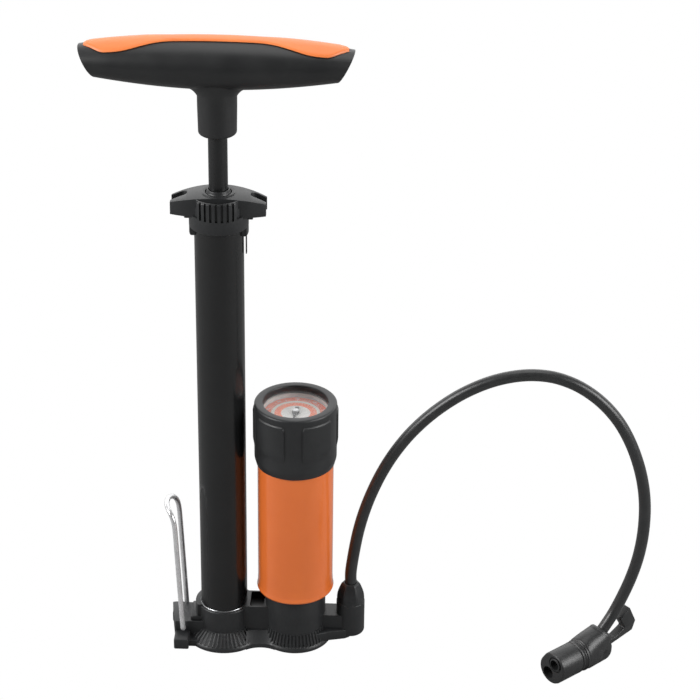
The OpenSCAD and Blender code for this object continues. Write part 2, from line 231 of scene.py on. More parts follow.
def block(name, low, high):
    clear()
    size = [b - a for a, b in zip(low, high)]
    middle = [(a + b) / 2 * mm for a, b in zip(low, high)]
    bpy.ops.mesh.primitive_cube_add(size=mm, location=middle)
    piece = named(name)
    piece.scale = size
    bpy.ops.object.transform_apply(location=True, rotation=True, scale=True)
    return piece


def rounded(points, steps=4):
    # (a, b, radius) corners of a closed outline, each turned into an arc
    out = []
    count = len(points)
    for i, (x, y, r) in enumerate(points):
        here = Vector((x, y))
        before = Vector(points[i - 1][:2]) - here
        after = Vector(points[(i + 1) % count][:2]) - here
        if r <= 0:
            out.append((x, y))
            continue
        half = before.angle(after) / 2
        reach = min(r / math.tan(half), before.length * 0.49, after.length * 0.49)
        radius = reach * math.tan(half)
        a, b = before.normalized(), after.normalized()
        centre = here + (a + b).normalized() * (radius / math.sin(half))
        start, end = here + a * reach - centre, here + b * reach - centre
        sweep = start.angle_signed(end)
        for k in range(steps + 1):
            turn = Matrix.Rotation(-sweep * k / steps, 2)
            out.append(tuple(centre + turn @ start))
    return out


def onAxis(corners, steps=3):
    # a rounded profile, joined to the axis at both its ends
    return [(0, corners[0][1])] + rounded(corners, steps) + [(0, corners[-1][1])]


def bevelled(piece, width, steps=2, sharp=35):
    # rounds the edges that are sharper than that
    edit(piece)
    limit = math.radians(sharp)
    selectWhere(piece, "edges", lambda e: len(e.link_faces) == 2 and e.calc_face_angle(0) >= limit)
    bpy.ops.mesh.bevel(offset=width * mm, segments=steps, affect="EDGES", clamp_overlap=True)
    done()
    return piece


def combine(piece, other, how="UNION"):
    pick(piece)
    modifier = piece.modifiers.new("combine", "BOOLEAN")
    modifier.operation = how
    modifier.solver = "EXACT"
    modifier.object = other
    bpy.ops.object.modifier_apply(modifier="combine")
    bpy.data.objects.remove(other)
    return piece


def cut(piece, other):
    return combine(piece, other, "DIFFERENCE")


def smooth(piece, angle=38):
    pick(piece)
    bpy.ops.object.shade_smooth_by_angle(angle=math.radians(angle))
    return piece


def finished(piece, body, finish, slotName, *nodes):
    piece.data.materials.clear()
    piece.data.materials.append(finish)
    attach(piece, body)
    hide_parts(*nodes)
    return piece


# materials: one class for sockets, so that masks are written as sums

class Wire:
    def __init__(self, finish, socket):
        self.finish = finish
        self.socket = socket

    def __add__(self, other):
        return self.finish.maths("ADD", self, other)

    def __sub__(self, other):
        return self.finish.maths("SUBTRACT", self, other)

    def __rsub__(self, other):
        return self.finish.maths("SUBTRACT", other, self)

    def __mul__(self, other):
        return self.finish.maths("MULTIPLY", self, other)

    def __truediv__(self, other):
        return self.finish.maths("DIVIDE", self, other)

    def __lt__(self, other):
        return self.finish.maths("LESS_THAN", self, other)

    def __gt__(self, other):
        return self.finish.maths("GREATER_THAN", self, other)

    __radd__ = __add__
    __rmul__ = __mul__


class Finish:
    # nodes of a material, or of the world
    def __init__(self, name, kind="materials", shader="Principled BSDF", **constants):
        self.block = getattr(bpy.data, kind).new(name)
        self.block.use_nodes = True
        self.tree = self.block.node_tree
        self.shader = self.tree.nodes[shader]
        for key, value in constants.items():
            self.shader.inputs[key.replace("_", " ")].default_value = value

    def node(self, kind, settings=None, sockets=None, out=0):
        made = self.tree.nodes.new(kind)
        for key, value in (settings or {}).items():
            setattr(made, key, value)
        for key, value in (sockets or {}).items():
            if isinstance(value, Wire):
                self.tree.links.new(value.socket, made.inputs[key])
            else:
                made.inputs[key].default_value = value
        return Wire(self, made.outputs[out])

    def maths(self, operation, *values):
        return self.node("ShaderNodeMath", {"operation": operation}, dict(enumerate(values)))

    def give(self, key, wire):
        self.tree.links.new(wire.socket, self.shader.inputs[key])

    def place(self, centre=(0, 0, 0), scale=(1, 1, 1)):
        where = self.node("ShaderNodeTexCoord", out="Object")
        moved = self.node("ShaderNodeVectorMath", {"operation": "SUBTRACT"}, {0: where, 1: centre})
        return self.node("ShaderNodeVectorMath", {"operation": "MULTIPLY"}, {0: moved, 1: scale})

    def noise(self, scale, detail=3, where=None, rough=0.5):
        return self.node("ShaderNodeTexNoise", None, {
            "Vector": where or self.place(), "Scale": scale, "Detail": detail, "Roughness": rough,
        })

    def mix(self, factor, a, b):
        return self.node("ShaderNodeMix", {"data_type": "RGBA"}, {0: factor, 6: a, 7: b}, out=2)

    def ranged(self, value, low, high, to=(0, 1)):
        return self.node("ShaderNodeMapRange", None, {0: value, 1: low, 2: high, 3: to[0], 4: to[1]})

    def bump(self, height, distance, strength):
        self.give("Normal", self.node("ShaderNodeBump", None, {
            "Height": height, "Distance": distance * mm, "Strength": strength,
        }))


def colour(r, g, b):
    return (r, g, b, 1)


mouldedLook = {"grain": 1500, "cloud": 60, "dust": 300}


def moulded(name, dark, light, rough, grainDepth=0.02):
    # moulded plastic: fine spark grain, faint flow clouds, roughness that wanders
    f = Finish(name)
    cloud = f.noise(mouldedLook["cloud"], 4)
    grain = f.noise(mouldedLook["grain"], 2)
    speck = f.ranged(f.noise(mouldedLook["dust"], 5, rough=0.7), 0.62, 0.72)
    tone = f.mix(f.ranged(cloud, 0.3, 0.7), colour(*dark), colour(*light))
    dust = colour(*[min(1, c * 1.8 + 0.01) for c in light])
    f.give("Base Color", f.mix(speck * 0.25, tone, dust))
    f.give("Roughness", f.ranged(cloud + grain * 0.4, 0.35, 1.05, (rough - 0.05, rough + 0.07)))
    f.bump(grain, grainDepth, 0.6)
    return f.block


def enamelled(name, dark, light, rough, coat, ripple=0.015):
    # sprayed and baked enamel: slight orange peel under a clear coat
    f = Finish(name, Coat_Weight=coat, Coat_Roughness=0.06)
    cloud = f.noise(35, 3)
    peel = f.noise(420, 2)
    f.give("Base Color", f.mix(f.ranged(cloud, 0.3, 0.7), colour(*dark), colour(*light)))
    f.give("Roughness", f.ranged(f.noise(110, 4), 0.35, 0.7, (rough - 0.02, rough + 0.03)))
    f.bump(peel, ripple, 0.3)
    return f.block


def metal(name, tone, rough, stretch=(1, 1, 14), scale=420, shine=1.0):
    # drawn or turned metal: fine lines along one axis
    f = Finish(name, Metallic=shine)
    lines = f.noise(scale, 4, f.place(scale=stretch), 0.6)
    stain = f.noise(90, 3)
    dull = colour(*[c * 0.82 for c in tone])
    f.give("Base Color", f.mix(f.ranged(stain, 0.35, 0.7), colour(*tone), dull))
    f.give("Roughness", f.ranged(lines, 0.3, 0.7, (rough - 0.06, rough + 0.1)))
    f.bump(lines, 0.01, 0.3)
    return f.block


def rubber(name, tone, rough):
    f = Finish(name, Sheen_Weight=0.08)
    bloom = f.noise(130, 5, rough=0.7)
    pale = colour(*[c * 1.3 + 0.002 for c in tone])
    f.give("Base Color", f.mix(f.ranged(bloom, 0.45, 0.75), colour(*tone), pale))
    f.give("Roughness", f.ranged(bloom, 0.3, 0.7, (rough - 0.02, rough + 0.03)))
    f.bump(f.noise(420, 2), 0.002, 0.1)
    return f.block


def clearLens():
    f = Finish("clearLens", Base_Color=colour(0.86, 0.87, 0.87), Roughness=0.04, Specular_IOR_Level=0.6)
    haze = f.noise(150, 4)
    f.give("Alpha", f.ranged(haze, 0.3, 0.7, (0.07, 0.11)))
    return f.block


finishes = {
    "black_plastic": moulded("blackPlastic", (0.016, 0.017, 0.018), (0.022, 0.023, 0.024), 0.42),
    "grip_black": moulded("gripBlack", (0.013, 0.0135, 0.014), (0.018, 0.0185, 0.019), 0.4, 0.015),
    "orange_grip": moulded("orangeGrip", (0.82, 0.205, 0.052), (0.87, 0.235, 0.062), 0.45, 0.015),
    "black_enamel": enamelled("blackEnamel", (0.0075, 0.0078, 0.008), (0.010, 0.0103, 0.0106), 0.24, 0.1,
                              0.006),
    "orange_enamel": enamelled("orangeEnamel", (0.80, 0.175, 0.035), (0.84, 0.19, 0.038), 0.24, 0.6, 0.004),
    "white_plastic": moulded("whitePlastic", (0.55, 0.55, 0.53), (0.62, 0.62, 0.6), 0.4),
    "acetal": moulded("acetal", (0.66, 0.64, 0.56), (0.72, 0.7, 0.62), 0.35),
    "steel": metal("steel", (0.56, 0.57, 0.58), 0.3),
    "bright_wire": metal("brightWire", (0.86, 0.86, 0.87), 0.24, (1, 1, 0.08), 900, 0.62),
    "brass": metal("brass", (0.72, 0.50, 0.22), 0.28, (1, 1, 10)),
    "rubber_black": rubber("rubberBlack", (0.012, 0.012, 0.012), 0.62),
    "hose_rubber": rubber("hoseRubber", (0.021, 0.0215, 0.022), 0.34),
    "clear_lens": clearLens(),
    "needle_black": enamelled("needleBlack", (0.012, 0.012, 0.012), (0.018, 0.018, 0.018), 0.4, 0.0),
    "head_plastic": moulded("headPlastic", (0.019, 0.0195, 0.02), (0.026, 0.0265, 0.027), 0.4),
}
print("materials made")


# hose, first of the pieces: the same route as its CAD solid

hoseForm = {
    "diameter": 7.6,
    "exit": (82.5, 0, 41.5),
    "sides": 28,
    "fine": 6,          # stations between two points of the route
    "route": [
        (82.5, 0, 41.5), (82.5, 0, 50), (84, 0, 65), (86.5, 0, 81), (90, 0, 96),
        (95, -1, 111), (101, -1, 127), (109, -2, 142), (118.5, -2, 157), (132, -3, 172),
        (149, -4, 187), (168, -4, 197), (187, -5, 202), (204, -5, 202), (218, -6, 197),
        (230, -6, 190), (241, -7, 180), (249, -7, 170), (256, -8, 157), (261.5, -8, 143),
        (265.5, -9, 129), (268, -9, 115), (268.5, -9, 100), (268, -10, 85), (266, -10, 70),
        (262, -10, 55), (257, -11, 41), (252, -13, 31), (245.9, -17.2, 22),
    ],
}


def smoothed(points, fine, loops=2):
    # spline through the points, relaxed a little where the given points are uneven
    p = [Vector(q) for q in points]
    for _ in range(loops):
        relaxed = [p[i] * 0.6 + (p[i - 1] + p[i + 1]) * 0.2 for i in range(2, len(p) - 2)]
        p = p[:2] + relaxed + p[-2:]
    out = []
    for i in range(len(p) - 1):
        a, b, c, d = p[max(i - 1, 0)], p[i], p[i + 1], p[min(i + 2, len(p) - 1)]
        for k in range(fine):
            t = k / fine
            out.append(0.5 * (2 * b + (c - a) * t + (2 * a - 5 * b + 4 * c - d) * t * t
                              + (3 * b - a - 3 * c + d) * t ** 3))
    return out + [p[-1]]


def bar(name, points, diameter, sides):
    # round bar along a line of points, by a bevelled curve turned into a mesh
    clear()
    data = bpy.data.curves.new(name, "CURVE")
    data.dimensions = "3D"
    data.bevel_depth = diameter / 2 * mm
    data.bevel_resolution = max(sides // 4 - 1, 1)
    data.use_fill_caps = True
    line = data.splines.new("POLY")
    line.points.add(len(points) - 1)
    for knot, point in zip(line.points, points):
        knot.co = (*(Vector(point) * mm), 1)
    piece = bpy.data.objects.new(name, data)
    scene.collection.objects.link(piece)
    pick(piece)
    bpy.ops.object.convert(target="MESH")
    piece = named(name)
    edit(piece)
    bpy.ops.mesh.remove_doubles(threshold=1e-6)
    faceOut()
    return piece


def makeHose():
    line = smoothed(hoseForm["route"], hoseForm["fine"])
    hose = bar("hose_tube", line, hoseForm["diameter"], hoseForm["sides"])
    smooth(hose, 50)
    finished(hose, "base", finishes["hose_rubber"], "hose_rubber", "hose")
    return hose, [point * mm for point in line]


hose, hoseLine = makeHose()
hoseLength = sum((b - a).length for a, b in zip(hoseLine, hoseLine[1:]))
print("hose made,", round(hoseLength, 4), "m")


# handle: a grip that swells in the middle, slanted ends, a pad let into its top

gripForm = {
    "middle": 398,        # height of its centre line
    "half": 80.8,
    "deep": (17.5, 5.4),  # half depth in the middle, and how much less at the ends
    "tall": (15.2, 5.8),
    "slant": 0.543,       # of the end cuts, mm outwards per mm upwards
    "endLow": 11.3,
    "stations": 96,
    "recess": 2.2,
    "stem": 11.5,
    "stemFoot": 354.3,
    "rod": 5.85,
    "rodTop": 378,
    "screw": (2.6, 382),      # radius and top of each step of the bore
    "screwHead": (5.4, 394),
    "fillet": 7.5,
}


def ease(x):
    x = max(0.0, min(1.0, x))
    return x * x * (3 - 2 * x)


def padAngle(t):
    # where the pad's border lies round the grip: high in the middle, low on two lobes
    u = abs(t)
    return 77 - 30 * ease((u - 0.3) / 0.45) + 38 * ease((u - 0.8) / 0.17)


def gripPoint(t, angle, inset=0.0):
    a = math.radians(angle)
    tall = gripForm["tall"][0] - gripForm["tall"][1] * t * t - inset
    deep = gripForm["deep"][0] - gripForm["deep"][1] * t * t - inset
    z = gripForm["middle"] + tall * math.sin(a)
    end = gripForm["half"] - gripForm["endLow"]
    x = t * (end + (z - gripForm["middle"] + 11) * gripForm["slant"])
    return Vector((x, deep * math.cos(a), z))


def wrapped(name, across, along, point, closedRound):
    # a grid laid over a surface; point gives the place of each of its vertices
    clear()
    bpy.ops.mesh.primitive_grid_add(x_subdivisions=along - 1, y_subdivisions=across - 1, size=mm)
    piece = named(name)
    vertices = piece.data.vertices
    for i, vertex in enumerate(vertices):
        row, column = divmod(i, along)
        vertex.co = point(column / (along - 1), row / (across - 1)) * mm
    if closedRound:
        tidyUp(piece)
    return piece


def makeGrip():
    g = gripForm

    def skin(along, around):
        # one turn: the outside from border to border below, then down into the recess and back
        t = -1 + 2 * along
        a = padAngle(t)
        depth = g["recess"] * (1 - ease((abs(t) - 0.9) / 0.05))
        if around <= 0.7:
            return gripPoint(t, 180 - a + (180 + 2 * a) * around / 0.7)
        if around >= 0.999:
            return gripPoint(t, 180 - a)
        inside = (around - 0.7) / 0.3
        gap = 0.6
        sunk = depth * ease(min(inside, 1 - inside) / 0.08)
        a += gap * ease(inside / 0.04) * (1 - inside) + (180 - 2 * a) * inside
        return gripPoint(t, a, sunk)

    grip = capped(wrapped("grip_black", 101, g["stations"] + 1, skin, True))

    # stem with a fillet that runs out on the grip's underside
    def stemSkin(around, up):
        turn = around * math.tau
        side = abs(math.cos(turn))
        reach = g["fillet"] * (0.35 + 0.65 * side ** 2)
        foot = g["stemFoot"]
        if up < 0.5:
            s = up / 0.5
            edge = 1.6
            if s < 0.3:
                k = s / 0.3 * math.pi / 2
                r = g["stem"] - edge + edge * math.sin(k)
                z = foot + edge * (1 - math.cos(k))
            else:
                r = g["stem"] + 0.3 * (s - 0.3) / 0.7
                z = foot + edge + (s - 0.3) / 0.7 * 16
            return Vector((r * math.cos(turn), r * math.sin(turn), z))
        s = (up - 0.5) / 0.5
        r0 = g["stem"] + 0.3
        r1 = r0 + reach
        t = (r1 * math.cos(turn)) / (g["half"] - g["endLow"] + 3)
        deep = g["deep"][0] - g["deep"][1] * t * t
        tall = g["tall"][0] - g["tall"][1] * t * t
        y1 = max(-deep * 0.93, min(deep * 0.93, r1 * math.sin(turn)))
        z1 = g["middle"] - tall * math.sqrt(1 - (y1 / deep) ** 2) + 0.25
        start = Vector((r0 * math.cos(turn), r0 * math.sin(turn), foot + 17.6))
        knee = Vector((r0 * math.cos(turn), r0 * math.sin(turn), z1 - 0.3))
        end = Vector((r1 * math.cos(turn), y1, z1))
        near = start.lerp(knee, 0.55)
        if s <= 0:
            return start
        low = near.lerp(knee, s)
        return near.lerp(low, s).lerp(low.lerp(end, s), s)

    combine(grip, capped(wrapped("stem", 41, 73, stemSkin, True)))
    foot, bore = g["stemFoot"], g["rod"]
    screw, screwTop = g["screw"]
    head, headTop = g["screwHead"]
    cut(grip, solid("bore", [
        (0, foot - 2), (bore + 0.6, foot - 2), (bore + 0.6, foot + 0.3), (bore, foot + 0.9),
        (bore, g["rodTop"]), (screw, g["rodTop"]), (screw, screwTop), (head, screwTop), (head, headTop),
        (0, headTop)], steps=48))
    smooth(grip, 42)
    return finished(grip, "handle", finishes["grip_black"], "grip_black", "handle_body")


def makePad():
    reach = 0.945

    def skin(along, around):
        t = (-1 + 2 * along) * reach
        a = padAngle(t) + 1.1
        edge = min(around, 1 - around)
        sink = 1 - 0.5 * ease(edge / 0.06) - 0.5 * ease((reach - abs(t)) / 0.02)
        return gripPoint(t, a + (180 - 2 * a) * around, sink - 0.12)

    pad = wrapped("grip_pad", 33, 121, skin, False)
    pick(pad)
    shell = pad.modifiers.new("shell", "SOLIDIFY")
    shell.thickness = 1.3 * mm
    shell.offset = -1
    bpy.ops.object.modifier_apply(modifier="shell")
    edit(pad)
    faceOut()
    smooth(pad, 60)
    return finished(pad, "handle", finishes["orange_grip"], "orange_grip", "handle_pad")


makeGrip()
makePad()
print("handle made")


# canister and gauge cap

canisterForm = {
    "x": 46.4, "radius": 24.1, "low": 38.6, "top": 150, "wall": 1.4, "hole": 16.05,
}


def makeCanister():
    c = canisterForm
    r, low = c["radius"], c["low"]
    profile = rounded([
        (c["hole"], low, 0.3), (r + 0.2, low, 0.7), (r + 0.75, low + 1.2, 0.7), (r + 0.25, low + 3.6, 5),
        (r, low + 9, 8), (r, c["top"], 0.5), (r - c["wall"], c["top"], 0.5), (r - c["wall"], low + 8, 1.2),
        (c["hole"], low + 8, 0.3),
    ], 5)
    can = turned("canister_shell", profile, (c["x"], 0), 160)
    smooth(can, 40)
    return finished(can, "base", finishes["orange_enamel"], "orange_enamel", "air_canister")


capForm = {
    "radius": 26.0, "pad": 0.85, "low": 131.8, "top": 174.7, "window": 20.4,
    "padLow": 143, "padTop": 169.8, "padHalf": 23, "count": 5, "first": -54, "steps": 600,
    "lens": (170.2, 171.4), "inside": 22.7, "seat": 152.1, "hole": 24.2,
}


def makeCap():
    c = capForm
    r, top, window, (lensLow, lensTop) = c["radius"], c["top"], c["window"], c["lens"]
    profile = rounded([
        (c["hole"], c["low"], 0.3), (r - 1.2, c["low"], 1.2), (r, c["low"] + 4.5, 6), (r, top, 1.5),
        (window + 0.1, top, 0.8), (window, lensTop, 0), (window, lensLow, 0), (c["inside"], lensLow, 0),
        (c["inside"], c["seat"], 0), (c["hole"], c["seat"], 0),
    ], 5)
    # rings are added down the wall, so that the pads have something to rise from
    split = max(i for i, p in enumerate(profile) if p[1] < 150 and p[0] > r - 0.1) + 1
    wall = [(r, top - 2.4 - k * 0.6) for k in reversed(range(55))]
    wall = [p for p in wall if p[1] > profile[split - 1][1] + 0.3]
    cap = turned("cap_shell", profile[:split] + wall + profile[split:], steps=c["steps"])
    half, fade = math.radians(c["padHalf"]), math.radians(0.6)
    pitch = math.tau / c["count"]

    def pads(far, turn, z):
        if far < r - 0.4:
            return 1
        turn = (turn - math.radians(c["first"]) + pitch / 2) % pitch - pitch / 2
        side = ease((half - abs(turn)) / fade + 0.5)
        corner = 1.6 * (1 - ease((half - abs(turn)) / (3.2 * fade)))
        height = ease((c["padTop"] - corner - z) / 0.6) * ease((z - c["padLow"]) / 7.0)
        return (far + c["pad"] * side * height) / far

    shifted(swollen(cap, pads), (canisterForm["x"], 0, 0))
    smooth(cap, 50)
    return finished(cap, "base", finishes["black_plastic"], "black_plastic", "gauge_cap")


makeCanister()
makeCap()
print("canister and cap made")


# base: two bosses on ribbed skirts, a web between them, a post for the hose, a lug for the stirrup

baseForm = {
    "boss": 16.9, "bossTop": 25, "lip": 18.7, "barrel": 15.02, "socket": 11,
    "canX": 46.4, "canBoss": 19.6, "canTop": 38, "spigot": 15.9, "spigotTop": 50,
    "skirt": 26, "canSkirt": 23.6, "skirtTop": 9.5, "canSkirtTop": 11.8,
    "edge": 1.6, "band": 3.4, "ribDeep": 0.8,
    "ribs": 52, "canRibs": 58,
    "web": 10, "webTop": 26.2,
    "postX": 82.5, "post": 9.2, "postLow": 4, "postTop": 28,
    "lugLeft": -33.4, "lugHalf": 11.5, "lugTop": 14.5,
    "hinge": (-26.1, 0, 10), "hingeHole": 1.72, "nipple": 3,
}


def ribbedSkirt(name, boss, edge, ribs, at, high):
    b = baseForm
    steps = 4 * ribs
    top = (boss + 0.4, high)
    low = (edge - 0.9, b["band"])
    slope = Vector((low[0] - top[0], low[1] - top[1]))
    inward = Vector((slope.y, -slope.x)).normalized() * b["ribDeep"]
    start = (low[0] + slope.x * -0.05, low[1] + slope.y * -0.05)
    end = (top[0] + slope.x * 0.1, top[1] + slope.y * 0.1)
    profile = [(0, 0), (edge - 0.5, 0), (edge, 0.5), (edge, b["edge"]), (edge - 0.35, b["edge"] + 0.9),
               low, start, end, top, (boss - 2, high + 0.6), (0, high + 0.6)]
    skirt = solid(name, profile, (0, 0), steps)
    for vertex in skirt.data.vertices:
        x, y, z = vertex.co / mm
        r = math.hypot(x, y)
        inZone = any(abs(r - p[0]) < 0.01 and abs(z - p[1]) < 0.01 for p in (start, end))
        step = round(math.atan2(y, x) / math.tau * steps) % 4
        if inZone and step in (0, 1):
            vertex.co.x *= (r + inward.x) / r
            vertex.co.y *= (r + inward.x) / r
            vertex.co.z += inward.y * mm
    return shifted(skirt, (at, 0, 0))


def filletArc(ra, c, rc, radius, side, steps=14):
    # arc that runs tangent to two circles on the X axis, one at 0 and one at c
    da, dc = ra + radius, rc + radius
    x = (c * c + da * da - dc * dc) / (2 * c)
    centre = Vector((x, side * math.sqrt(da * da - x * x)))
    first = -centre.normalized() * radius
    last = (Vector((c, 0)) - centre).normalized() * radius
    sweep = -first.angle_signed(last)
    return [tuple(centre + Matrix.Rotation(sweep * k / steps, 2) @ first) for k in range(steps + 1)]


def apron(name, ra, c, rc, radius, low, high, shrink):
    # fills the waist between two round skirts
    front, back = (filletArc(ra, c, rc, radius, side) for side in (-1, 1))
    piece = prism(name, front + back[::-1], low, high)
    for vertex in piece.data.vertices:
        if vertex.co.z > (low + 0.1) * mm:
            vertex.co.y *= shrink
    return piece


def makeBase():
    b = baseForm
    boss, top, web, canX, canBoss = b["boss"], b["bossTop"], b["web"], b["canX"], b["canBoss"]
    postX, postLow, postTop = b["postX"], b["postLow"], b["postTop"]
    base = solid("base_shell", onAxis([
        (boss - 4, 0, 0), (boss, 0, 0), (boss, top, 0.8), (boss - 4, top, 0)]), steps=128)

    def add(piece, width):
        combine(base, bevelled(piece, width, 3))

    lip = turned("lip", rounded([
        (14, 13, 0), (b["lip"], 13, 0.5), (b["lip"], top + 0.6, 0.6), (14, top + 0.6, 0.3)], 3), steps=128)
    cut(lip, block("front", (-30, -40, 0), (30, -8, 60)))
    combine(base, lip)
    skirt, canSkirt = b["skirt"], b["canSkirt"]
    combine(base, ribbedSkirt("skirt", boss, skirt, b["ribs"], 0, b["skirtTop"]))
    combine(base, ribbedSkirt("canSkirt", canBoss, canSkirt, b["canRibs"], canX, b["canSkirtTop"]))
    for name, less, low, high, shrink in (("apronEdge", 0, 0, 2.4, 0.985), ("apronSlope", 0.4, 2.2, 9, 0.62)):
        combine(base, apron(name, skirt - less, canX, canSkirt - less, 17, low, high, shrink))
    combine(base, solid("canBoss", onAxis([
        (canBoss, 0, 0), (canBoss, b["canTop"], 0.9), (b["spigot"], b["canTop"], 0.2),
        (b["spigot"], b["spigotTop"], 0.5), (3, b["spigotTop"], 0)]), (canX, 0), 128))
    add(block("web", (4, -web, 1), (canX, web, b["webTop"])), 0.7)
    cut(base, block("trough", (boss + 0.3, 1.6 - web, 21), (canX - canBoss - 0.3, web - 1.6, 40)))
    # arm out to the post, with a ledge along its foot
    add(block("arm", (canX + 4, -7.6, postLow + 0.4), (postX, 7.6, 19.5)), 0.7)
    ledge = [(canX + 8, -17.5, 0), (canX + 21, -12, 9), (postX - 3, -9.0, 4), (postX, -7, 0)]
    ledge += [(x, -y, r) for x, y, r in ledge[::-1]]
    add(prism("ledge", rounded(ledge, 6), postLow - 1.2, 9.6), 0.8)
    post = [(4, postLow, 0), (b["post"], postLow, 2.4), (b["post"], postTop, 0.5), (4, postTop, 0)]
    combine(base, solid("post", onAxis(post, 5), (postX, 0)))
    # lug with its two toe blocks and the step up to the boss
    left, half, lugTop = b["lugLeft"], b["lugHalf"], b["lugTop"]
    add(prism("lug", [(left + 1.8, -half), (-8, -half), (-8, half), (left - 1.8, half)], 0, lugTop), 0.7)
    add(block("step", (-21.5, -9.4, 10), (-8, 9.4, lugTop + 2.6)), 0.8)
    for side in (-1, 1):
        near = left - side * 1.9
        toe = sorted((side * 22.5, side * 9))
        heel = sorted((side * 19, side * 8))
        add(block("toe", (near, toe[0], 0), (near + 9.6, toe[1], 7.4)), 0.9)
        add(block("heel", (near + 7, heel[0], 0.1), (-14.3, heel[1], 4.4)), 0.7)
    # barrel socket, hose nipple, hinge
    cut(base, rod("socket", b["barrel"], b["socket"], 40))
    cut(base, rod("nipple", b["nipple"], 16, 40, (postX, 0), 32))
    cut(base, crossRod("hole", b["hingeHole"], 30, b["hinge"]))
    smooth(base, 30)
    return finished(base, "base", finishes["black_plastic"], "black_plastic", "base_casting")


def makeFootRing():
    # bare edge of the barrel, where it sits in its boss
    inside, top = baseForm["barrel"] + 0.06, baseForm["bossTop"]
    ring = turned("foot_ring", [
        (inside, top - 0.1), (15.55, top - 0.1), (15.62, top + 0.45), (15.35, top + 0.75),
        (inside, top + 0.6)], steps=144)
    smooth(ring, 60)
    return finished(ring, "base", finishes["steel"], "steel")


makeBase()
makeFootRing()
print("base made")


# collar with its hook plate

collarForm = {
    "radius": 18, "low": 295.2, "barrel": 15.04, "barrelTop": 310, "hole": 8.05,
    "plateTop": 316.5, "plateHalf": 28.7, "plateDeep": 11, "plateEnd": 5.9, "plateLow": 303.6,
    "slot": (22.3, 2.6, 3.25, -15.5), "ribPitch": 11, "ribWide": 1.5, "ribDeep": 1.1, "ribLow": 303.9,
    "rimLow": 310.4, "well": (16.1, 311.8), "earLow": 289.9, "above": 330,
    # the rim stands up at the front ribs only: these are cut from it, as two corners each
    "rimCuts": [((-30, -10.4), (-11.6, 30)), ((11.6, -10.4), (30, 30)), ((-12, 10), (12, 30)),
                ((-30, -14.4), (-12.4, -8)), ((12.4, -14.4), (30, -8))],
}


def makeCollar():
    c = collarForm
    radius, barrel, hole, top, above = c["radius"], c["barrel"], c["hole"], c["plateTop"], c["above"]
    half, sag = c["plateHalf"], c["plateDeep"] - c["plateEnd"]
    arc = (half ** 2 + sag ** 2) / (2 * sag)
    collar = turned("collar_plate", rounded([
        (barrel, c["low"], 0.4), (radius, c["low"], 0.7), (radius, top - 1.0, 0.8), (hole, top - 1.0, 0),
        (hole, c["barrelTop"], 0), (barrel, c["barrelTop"], 0)], 3), steps=144)
    for face in (-90, 90):
        for k in range(-3, 4):
            wide = c["ribWide"] / 2
            groove = block("groove", (radius - c["ribDeep"], -wide, c["ribLow"]), (radius + 3, wide, 320))
            cut(collar, turnedBy(groove, face + k * c["ribPitch"], "Z"))
        for side in (-1, 1):
            # a flat sunk beside the ribs
            flat = block("flat", (radius - 1.5, -3.2, c["ribLow"] + 0.7), (radius + 3, 3.2, 320))
            cut(collar, turnedBy(flat, face + side * 51, "Z"))
    for low, high in c["rimCuts"]:
        cut(collar, block("side", (*low, c["rimLow"]), (*high, above)))
    wellRadius, wellLow = c["well"]
    cut(collar, rod("well", wellRadius, wellLow, 325, steps=144))
    for side in (0, 180):
        ear = turned("ear", rounded([
            (barrel + 0.08, c["earLow"], 0.3), (radius - 0.07, c["earLow"], 0.9),
            (radius - 0.07, c["low"] + 2, 0), (barrel + 0.08, c["low"] + 2, 0)], 3), steps=150)
        combine(ear, block("part", (10, -5.5, 280), (30, 5.5, 310)), "INTERSECT")
        combine(collar, turnedBy(ear, side, "Z"))
    # plate: an arched bar cut to a lens outline, thinned under its front
    steps = 26
    back = []
    for k in range(steps + 1):
        x = half - 2 * half * k / steps
        back.append((x, math.sqrt(arc * arc - x * x) - (arc - c["plateDeep"])))
    plate = prism("plate", back + [(-x, -y) for x, y in back], 290, above)
    combine(plate, crossRod("rise", arc, 40, (0, 0, top - arc), 360), "INTERSECT")
    cut(plate, block("under", (-50, -50, 200), (50, 50, c["plateLow"])))
    x, y, r, turn = c["slot"]
    opening = rounded([(-r, -r, r * 0.98), (20, -r, 0), (20, r, 0), (-r, r, r * 0.98)], 8)
    for side in (1, -1):
        slot = turnedBy(prism("slot", opening, 280, 340), turn, "Z")
        shifted(slot, (x, y, 0))
        if side < 0:
            slot.data.transform(Matrix.Scale(-1, 4, (1, 0, 0)))
            tidyUp(slot)
        cut(plate, slot)
    bevelled(plate, 0.55, 3, 40)
    combine(plate, solid("boss", [(0, 311), (9.9, 311), (9.9, 316.4), (9.5, 316.8), (0, 316.8)]))
    cut(plate, solid("bore", [
        (0, 270), (barrel + 0.1, 270), (barrel + 0.1, c["barrelTop"] + 0.07),
        (hole + 0.06, c["barrelTop"] + 0.07), (hole + 0.06, above), (0, above)], steps=150))
    combine(collar, plate)
    for side in (-1, 1):
        tab = block("tab", (side * 19.0 - 1.7, -2.6, 299.6), (side * 19.0 + 1.7, 2.6, 306))
        combine(collar, bevelled(tab, 0.5, 2))
    tongue = block("tongue", (16.1, -1.5, 276.5), (16.8, 1.5, 292))
    combine(collar, bevelled(tongue, 0.15, 2))
    smooth(collar, 32)
    return finished(collar, "base", finishes["black_plastic"], "black_plastic", "top_collar")


def makeBush():
    # lip of the rod's guide, just proud of the plate
    bush = turned("guide_bush", rounded([
        (6.04, 300, 0), (7.9, 300, 0.2), (7.9, 316, 0), (7.2, 317.2, 0.3), (6.9, 318.6, 0.5),
        (6.04, 318.9, 0.3)], 3))
    smooth(bush, 35)
    return finished(bush, "base", finishes["black_plastic"], "black_plastic", "rod_guide_bush")


makeCollar()
makeBush()
print("collar made")


# gauge: printed dial, needle

